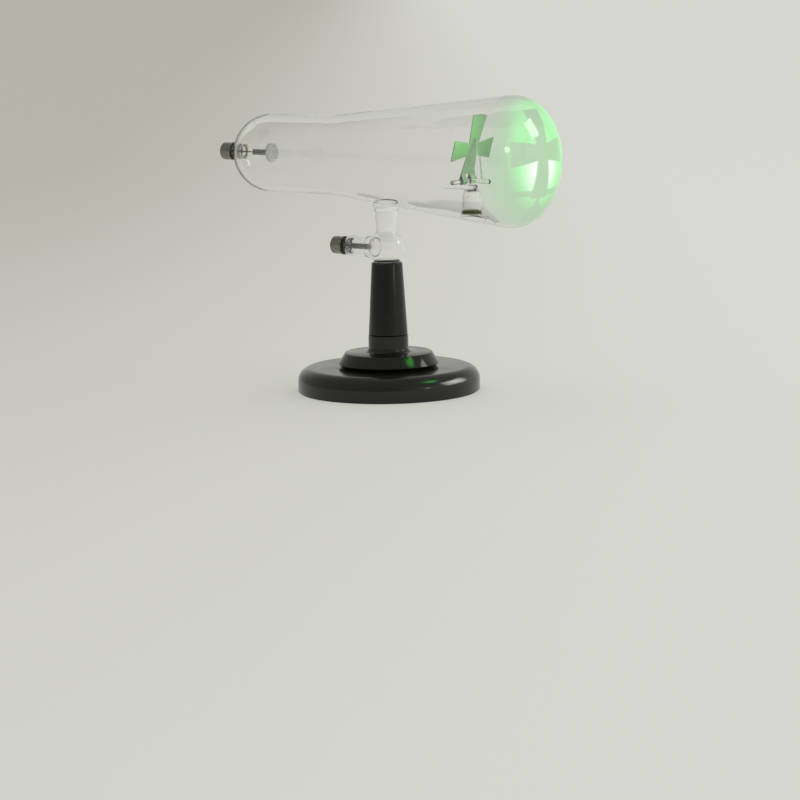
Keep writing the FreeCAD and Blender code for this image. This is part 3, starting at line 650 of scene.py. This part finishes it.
def capOutline(end):
    cap = terminal
    radius, sheet, edge, mouth = cap["radius"], cap["sheet"], cap["edge"], end + cap["length"]
    outline = [(end, cap["hole"]), (end, radius - edge - 0.8)]
    outline += arc((end + edge, radius - edge), edge, 180, 90, 8)
    rim, out = cap["rimWide"], cap["rimOut"]
    outline += [(mouth - rim - 0.35, radius), (mouth - rim, radius + 0.08)]
    outline += arc((mouth - rim + out, radius), out, 150, 90, 4) + arc((mouth - out, radius), out, 90, -20, 6)
    outline += [(mouth - 0.12, radius - sheet + 0.1), (mouth - 0.3, radius - sheet)]
    outline += arc((end + edge, radius - edge), edge - sheet, 90, 180, 6) + [(end + sheet, cap["hole"])]
    return outline


def rodOutline(start, stop, radius, edge, bore=0.0, deep=0.0):
    # the bore is deep from the start, or runs right through where deep is None
    outline = [(start, bore), (start, radius - edge), (start + edge * 0.3, radius - edge * 0.3)]
    outline += [(start + edge, radius), (stop - edge, radius), (stop - edge * 0.3, radius - edge * 0.3)]
    outline += [(stop, radius - edge)]
    return outline + ([(stop, bore)] if deep is None else [(stop, 0), (start + deep, 0), (start + deep, bore)])


def buildTerminals():
    nickel, cement = nickelFinish(), cementFinish()
    solder = mottledMetal("dullSolder", (0.36, 0.35, 0.32), (0.6, 0.6, 0.58), (0.32, 0.56), 900, depth=0.0001)
    lead = mottledMetal("leadWire", (0.12, 0.11, 0.10), (0.42, 0.40, 0.37), (0.24, 0.46), 1100, 3.0,
                        0.00002, 0.4)
    cap, nipple = terminal, terminal["nipple"]
    inner = cap["radius"] - cap["sheet"]
    for side in ("cathode", "anode"):
        end, height, wireTo = (cap[side][k] for k in ("end", "height", "wireTo"))
        mouth = end + cap["length"]
        fill = [(end + 2.7, nipple), (end + 2.7, inner - 0.02), (mouth - 0.5, inner - 0.02),
                (mouth + 0.1, inner - 0.15), (mouth + 0.7, nipple + 0.3), (mouth + 1.2, nipple)]
        bead = [(end + (x - end) * cap["beadHeight"] / cap["bead"], r)
                for x, r in arc((end, 0), cap["bead"], 180, 90, 10)]
        bead += [(end + 0.25, cap["bead"] * 0.8), (end + 0.25, 0)]
        wire = rodOutline(end + 0.2, wireTo, cap["wire"], 0.1)
        for part, outline, finish, slot in (
                ("Cap", capOutline(end), nickel, "cap_nickel"),
                ("Cement", fill, cement, "cement"),
                ("Solder", bead, solder, "solder"),
                ("Wire", wire, lead, "lead_wire")):
            steps = cap["wireSteps" if part == "Wire" else "steps"]
            form = lyingForm(outline, height, closed=True, steps=steps)
            finishPiece(linkMesh(form, side + part), finish, "instrument", [f"{side}_{part.lower()}"], slot)
    return cement


def buildElectrodes():
    e, height = electrode, terminal["cathode"]["height"]
    discMetal = turnedAluminium("discAluminium", (0.42, 0.44, 0.42), (0.62, 0.64, 0.62))
    rodMetal = turnedAluminium("rodAluminium", (0.15, 0.16, 0.145), (0.26, 0.27, 0.25))
    start, stop, radius = e["disc"]
    rim = e["rim"]
    disc = [(stop - e["dish"], 0), (stop - e["dish"], radius * 0.75), (stop - 0.02, radius - 0.6)]
    disc += [(stop, radius - rim)] + arc((stop - rim, radius - rim), rim, 0, 90, 5)[1:]
    disc += arc((start + rim, radius - rim), rim, 90, 180, 5) + [(start, 0)]
    sleeve = rodOutline(*e["sleeve"], e["sleeveEdge"], e["bore"], None)
    rod, anodeRod = (rodOutline(*e[k], e["edge"], e["bore"], e["socket"]) for k in ("rod", "anodeRod"))
    anodeHeight, metal = terminal["anode"]["height"], "electrode_aluminium"
    for name, node, outline, high, finish, slot, steps in (
            ("cathodeSleeve", "cathode_sleeve", sleeve, height, glassFinish, "clear_glass", e["steps"]),
            ("cathodeRod", "cathode_rod", rod, height, rodMetal, metal, e["steps"]),
            ("cathodeDisc", "cathode_disc", disc, height, discMetal, metal, e["discSteps"]),
            ("anodeRod", "anode_rod", anodeRod, anodeHeight, rodMetal, metal, e["steps"])):
        form = lyingForm(outline, high, closed=True, steps=steps)
        finishPiece(linkMesh(form, name), finish, "instrument", [node], slot)


capCement = buildTerminals()
buildElectrodes()
print("terminals and electrodes made")


# the cross: aluminium sheet, hemmed round the hinge bar
def sheetFinish():
    # rolled sheet: fine lines along the roll, faint stains and a little lustre lost
    finish = Finish("crossSheet", (0.5, 0.51, 0.5), 0.6, Metallic=0.8)
    rolled = finish.node("Mapping", {}, Vector=finish.place(), Scale=(1, 1, 0.03))
    lines = finish.noise(2600, 3.0, rolled)
    stain = finish.noise(120, 4.0)
    finish.feed("Base Color", finish.blend(stain, (0.37, 0.375, 0.345), (0.47, 0.475, 0.44)))
    finish.feed("Roughness", finish.step(lines, 0.3, 0.7, 0.52, 0.7))
    finish.bump(lines, 0.00001, 0.6)
    return finish


def prism(points, plane, reach, name):
    # a flat outline, pulled out to both sides of the cross's own middle
    form = bmesh.new()
    verts = [form.verts.new(((u, -reach, v) if plane == "side" else (-reach, u, v))) for u, v in points]
    face = form.faces.new(verts)
    pulled = bmesh.ops.extrude_face_region(form, geom=[face])
    shift = (0, 2 * reach, 0) if plane == "side" else (2 * reach, 0, 0)
    bmesh.ops.translate(form, vec=shift, verts=[v for v in pulled["geom"] if isinstance(v, bmesh.types.BMVert)])
    bmesh.ops.recalc_face_normals(form, faces=form.faces)
    place = Matrix.Translation(Vector(cross["hinge"]) * mm)
    place = place @ Matrix.Rotation(math.radians(cross["lean"]), 4, "Y") @ Matrix.Scale(mm, 4)
    bmesh.ops.transform(form, matrix=place, verts=form.verts)
    return linkMesh(form, name)


def buildCross():
    c = cross
    inner, outer, angle = c["curlInner"], c["curlOuter"], c["curlAngle"]
    middle, waist, cutReach = c["middle"], c["waist"], c["cutReach"]
    top = middle + c["up"]

    def meets(radius, out):
        turn = math.radians(angle)
        return radius * math.sin(turn) + (radius * math.cos(turn) + out) / math.tan(turn)

    section = [(-outer, top)] + arc((0, 0), outer, 180, 360 + angle, 30)
    section += [(-c["hem"], meets(outer, c["hem"])), (-c["hem"], c["hemEnd"])]
    section += [(-inner, c["hemEnd"]), (-inner, top)]
    eye = [(-inner, meets(inner, inner))] + arc((0, 0), inner, 180, 360 + angle, 30)
    right = [(c["footHalf"], -outer - 1), (c["footHalf"], -outer), (waist, middle - waist),
             (c["side"], middle - c["sideHalf"]), (c["side"], middle + c["sideHalf"]), (waist, middle + waist),
             (c["topHalf"], top), (c["topHalf"], top + 1)]
    outline = right + [(-across, up) for across, up in reversed(right)]
    half, notchTop = c["notch"], c["notchTop"]
    notch = [(-half, -outer - 2), (-half, notchTop), (half, notchTop), (half, -outer - 2)]
    piece = prism(section, "side", c["side"] + 1, "shadowCross")
    carve(piece, prism(eye, "side", c["side"] + 2, "eye"), "DIFFERENCE")
    carve(piece, prism(outline, "front", cutReach, "outline"), "INTERSECT")
    carve(piece, prism(notch, "front", cutReach, "notch"), "DIFFERENCE")
    soften = piece.modifiers.new("soften", "BEVEL")
    soften.width, soften.segments = c["edge"] * mm, 2
    soften.limit_method, soften.angle_limit = "ANGLE", math.radians(c["edgeAngle"])
    joined = piece.modifiers.new("joined", "WELD")
    joined.merge_threshold = merge["bevel"]
    return finishPiece(piece, sheetFinish(), "cross", ["shadow_cross"], "cross_sheet")


buildCross()
print("cross made")


# small fastenings and the felt keep their CAD shape
def feltFinish():
    finish = Finish("blackFelt", (0.03, 0.032, 0.03), 0.95)
    fibres = finish.noise(2400, 5.0)
    worn = finish.noise(90, 3.0)
    finish.feed("Base Color", finish.blend(fibres, (0.015, 0.016, 0.015), (0.062, 0.064, 0.06)))
    finish.feed("Roughness", finish.step(worn, 0.3, 0.7, 0.86, 1.0))
    finish.bump(fibres + worn, 0.0003, 0.7)
    return finish


zinc = mottledMetal("zincPlate", (0.38, 0.38, 0.36), (0.6, 0.6, 0.58), (0.28, 0.48), 600)
brass = mottledMetal("insertBrass", (0.42, 0.30, 0.14), (0.7, 0.52, 0.25), (0.26, 0.46), 600)
kept = {
    "base_pad": (feltFinish(), "pad_felt"),
    "base_screw": (zinc, "plated_steel"), "screw_washer": (zinc, "plated_steel"),
    "threaded_insert": (brass, "insert_brass"), "glass_cement": (capCement, "cement"),
}
for name, (finish, slot) in kept.items():
    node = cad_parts[name]
    node.data.materials.clear()
    node.data.materials.append(finish.material)
print("fastenings finished")


# studio: a seamless pale floor and backdrop, soft light from behind and from the right
studio = {
    "floor": (0.66, 0.66, 0.63), "shown": (0.65, 0.655, 0.605), "room": (0.30, 0.30, 0.28),
    "roomFrom": (-2.6, -0.7),
    "far": (0.35, 0.34, 0.285), "leftFrom": (-0.45, 0.33), "farFrom": (-2.5, 2.0),
    "above": (0.38, 0.38, 0.345), "aboveFrom": (0.12, 0.7), "besideFrom": (0.1, 0.85),
    "flat": 0.7, "front": 0.4, "back": 1.4, "airFrom": (-0.9, 0.1), "radius": 30,
}
window = {"side": 43, "height": 24, "away": 2.4, "above": 0.1, "wide": 0.6, "tall": 0.6, "power": 3.6}
glint = {"side": -3, "height": 13, "spread": 7.0, "power": 0.045}
sheen = {"side": 43, "height": 24, "away": 2.0, "wide": 1.3, "tall": 0.8, "power": 18.0}
spill = {
    "crossSpill": {
        "place": (101.0, 0.0, 150.0), "towards": (-1, 0, -0.1), "size": 0.06, "power": 0.0145,
        "lights": ("shadowCross", "cathodeDisc"),
    },
    "standSpill": {
        "place": (104.0, 4.0, 104.0), "towards": (-0.7, -0.2, -1), "size": 0.036, "power": 0.016,
        "lights": ("baseDisc", "socketPlinth"),
    },
}
spillColour = (0.12, 1.0, 0.1)


def seenRays(new, link):
    # rays that show the backdrop: from the camera, off metal and through glass
    path = new("ShaderNodeLightPath")
    total = path.outputs["Is Camera Ray"]
    for name in ("Is Glossy Ray", "Is Transmission Ray"):
        either = new("ShaderNodeMath")
        either.operation = "MAXIMUM"
        link(total, either.inputs[0])
        link(path.outputs[name], either.inputs[1])
        total = either.outputs[0]
    return total


def layFloor():
    ground = bmesh.new()
    bmesh.ops.create_circle(ground, cap_ends=True, radius=studio["radius"], segments=96)
    floor = linkMesh(ground, "floor")
    finish = Finish("paleFloor", studio["floor"], 0.9)
    along, across = finish.spot()[:2]
    turn = math.radians(camera["turn"])
    sideways = along * math.cos(turn) + across * math.sin(turn)
    deep = across * math.cos(turn) - along * math.sin(turn)
    shade = finish.fall(sideways, *studio["leftFrom"]) * finish.step(deep, *studio["farFrom"])
    wall = finish.blend(shade, studio["shown"], studio["far"])
    wall = finish.blend(finish.step(across, *studio["roomFrom"]), studio["room"], wall)
    glowing = finish.node("Emission", {}, Color=wall, Strength=1.0)
    seen = Wire(finish, seenRays(finish.tree.nodes.new, finish.tree.links.new)) * studio["flat"]
    mixed = finish.node("MixShader", {}, seen, Wire(finish, finish.shader.outputs[0]), glowing)
    finish.tree.links.new(mixed.socket, finish.output.inputs["Surface"])
    floor.data.materials.append(finish.material)


def hangAir():
    world = bpy.data.worlds.new("air")
    bpy.context.scene.world = world
    world.use_nodes = True
    tree = world.node_tree
    new, link = tree.nodes.new, tree.links.new
    place, split = new("ShaderNodeTexCoord"), new("ShaderNodeSeparateXYZ")
    link(place.outputs["Generated"], split.inputs[0])
    shades = []
    for low, high in (((studio["front"],) * 3, (studio["back"],) * 3), (studio["room"], studio["shown"])):
        ramp, air = new("ShaderNodeMapRange"), new("ShaderNodeBackground")
        ramp.data_type, ramp.interpolation_type = "FLOAT_VECTOR", "SMOOTHSTEP"
        join = new("ShaderNodeCombineXYZ")
        for axis in range(3):
            link(split.outputs["Y"], join.inputs[axis])
        link(join.outputs[0], ramp.inputs["Vector"])
        begin, end = studio["airFrom"]
        for key, value in ((7, (begin,) * 3), (8, (end,) * 3), (9, low), (10, high)):
            ramp.inputs[key].default_value = value
        link(ramp.outputs["Vector"], air.inputs["Color"])
        shades.append(air)
    # overhead and to the camera's left the room is darker
    turn = math.radians(camera["turn"])
    beside, dim = new("ShaderNodeVectorMath"), new("ShaderNodeMix")
    beside.operation = "DOT_PRODUCT"
    link(place.outputs["Generated"], beside.inputs[0])
    beside.inputs[1].default_value = (-math.cos(turn), -math.sin(turn), 0)
    darker = new("ShaderNodeMath")
    darker.operation = "MAXIMUM"
    shaded = ((split.outputs["Z"], "aboveFrom"), (beside.outputs["Value"], "besideFrom"))
    for i, (socket, key) in enumerate(shaded):
        over = new("ShaderNodeMapRange")
        over.interpolation_type = "SMOOTHSTEP"
        link(socket, over.inputs["Value"])
        over.inputs["From Min"].default_value, over.inputs["From Max"].default_value = studio[key]
        link(over.outputs["Result"], darker.inputs[i])
    dim.data_type = "RGBA"
    link(darker.outputs[0], dim.inputs["Factor"])
    link(shades[1].inputs["Color"].links[0].from_socket, dim.inputs[6])
    dim.inputs[7].default_value = (*studio["above"], 1)
    link(dim.outputs[2], shades[1].inputs["Color"])
    mix = new("ShaderNodeMixShader")
    link(seenRays(new, link), mix.inputs[0])
    for socket, air in zip((1, 2), shades):
        link(air.outputs[0], mix.inputs[socket])
    link(mix.outputs[0], tree.nodes["World Output"].inputs["Surface"])


def heading(side, height):
    # side and height are the angles that the light comes from
    side, height = math.radians(side), math.radians(height)
    return Vector((math.cos(side) * math.cos(height), math.sin(side) * math.cos(height), math.sin(height)))


def hangLamp(name, kind, place, towards, **settings):
    lamp = bpy.data.objects.new(name, bpy.data.lights.new(name, kind))
    bpy.context.scene.collection.objects.link(lamp)
    for key, value in settings.items():
        setattr(lamp.data, key, value)
    lamp.location = place
    lamp.rotation_euler = Vector(towards).to_track_quat("-Z", "Y").to_euler()
    return lamp


def onlyLights(lamp, pieces):
    lamp.visible_camera = lamp.visible_transmission = False
    lamp.light_linking.receiver_collection = reached = bpy.data.collections.new(lamp.name)
    for piece in pieces:
        reached.objects.link(bpy.data.objects[piece])


def hangArea(name, place, towards, lamp):
    return hangLamp(name, "AREA", place, towards, shape="RECTANGLE", size=lamp["wide"], size_y=lamp["tall"],
                    energy=lamp["power"])


def hangLamps():
    out = heading(window["side"], window["height"])
    hangArea("window", out * window["away"] + Vector((0, 0, window["above"])), -out, window)
    hangLamp("glint", "SUN", (0, 0, 0), -heading(glint["side"], glint["height"]),
             angle=math.radians(glint["spread"]), energy=glint["power"])
    out = heading(sheen["side"], sheen["height"])
    onlyLights(hangArea("sheen", out * sheen["away"], -out, sheen), ["baseDisc"])
    # the glowing screen's own light, thrown back on the cross and down on the stand
    for name, s in spill.items():
        onlyLights(hangLamp(name, "AREA", Vector(s["place"]) * mm, s["towards"], shape="DISK", size=s["size"],
                            energy=s["power"], color=spillColour), s["lights"])


layFloor()
hangAir()
hangLamps()
bpy.context.scene.view_settings.view_transform = "Standard"
print("lit")
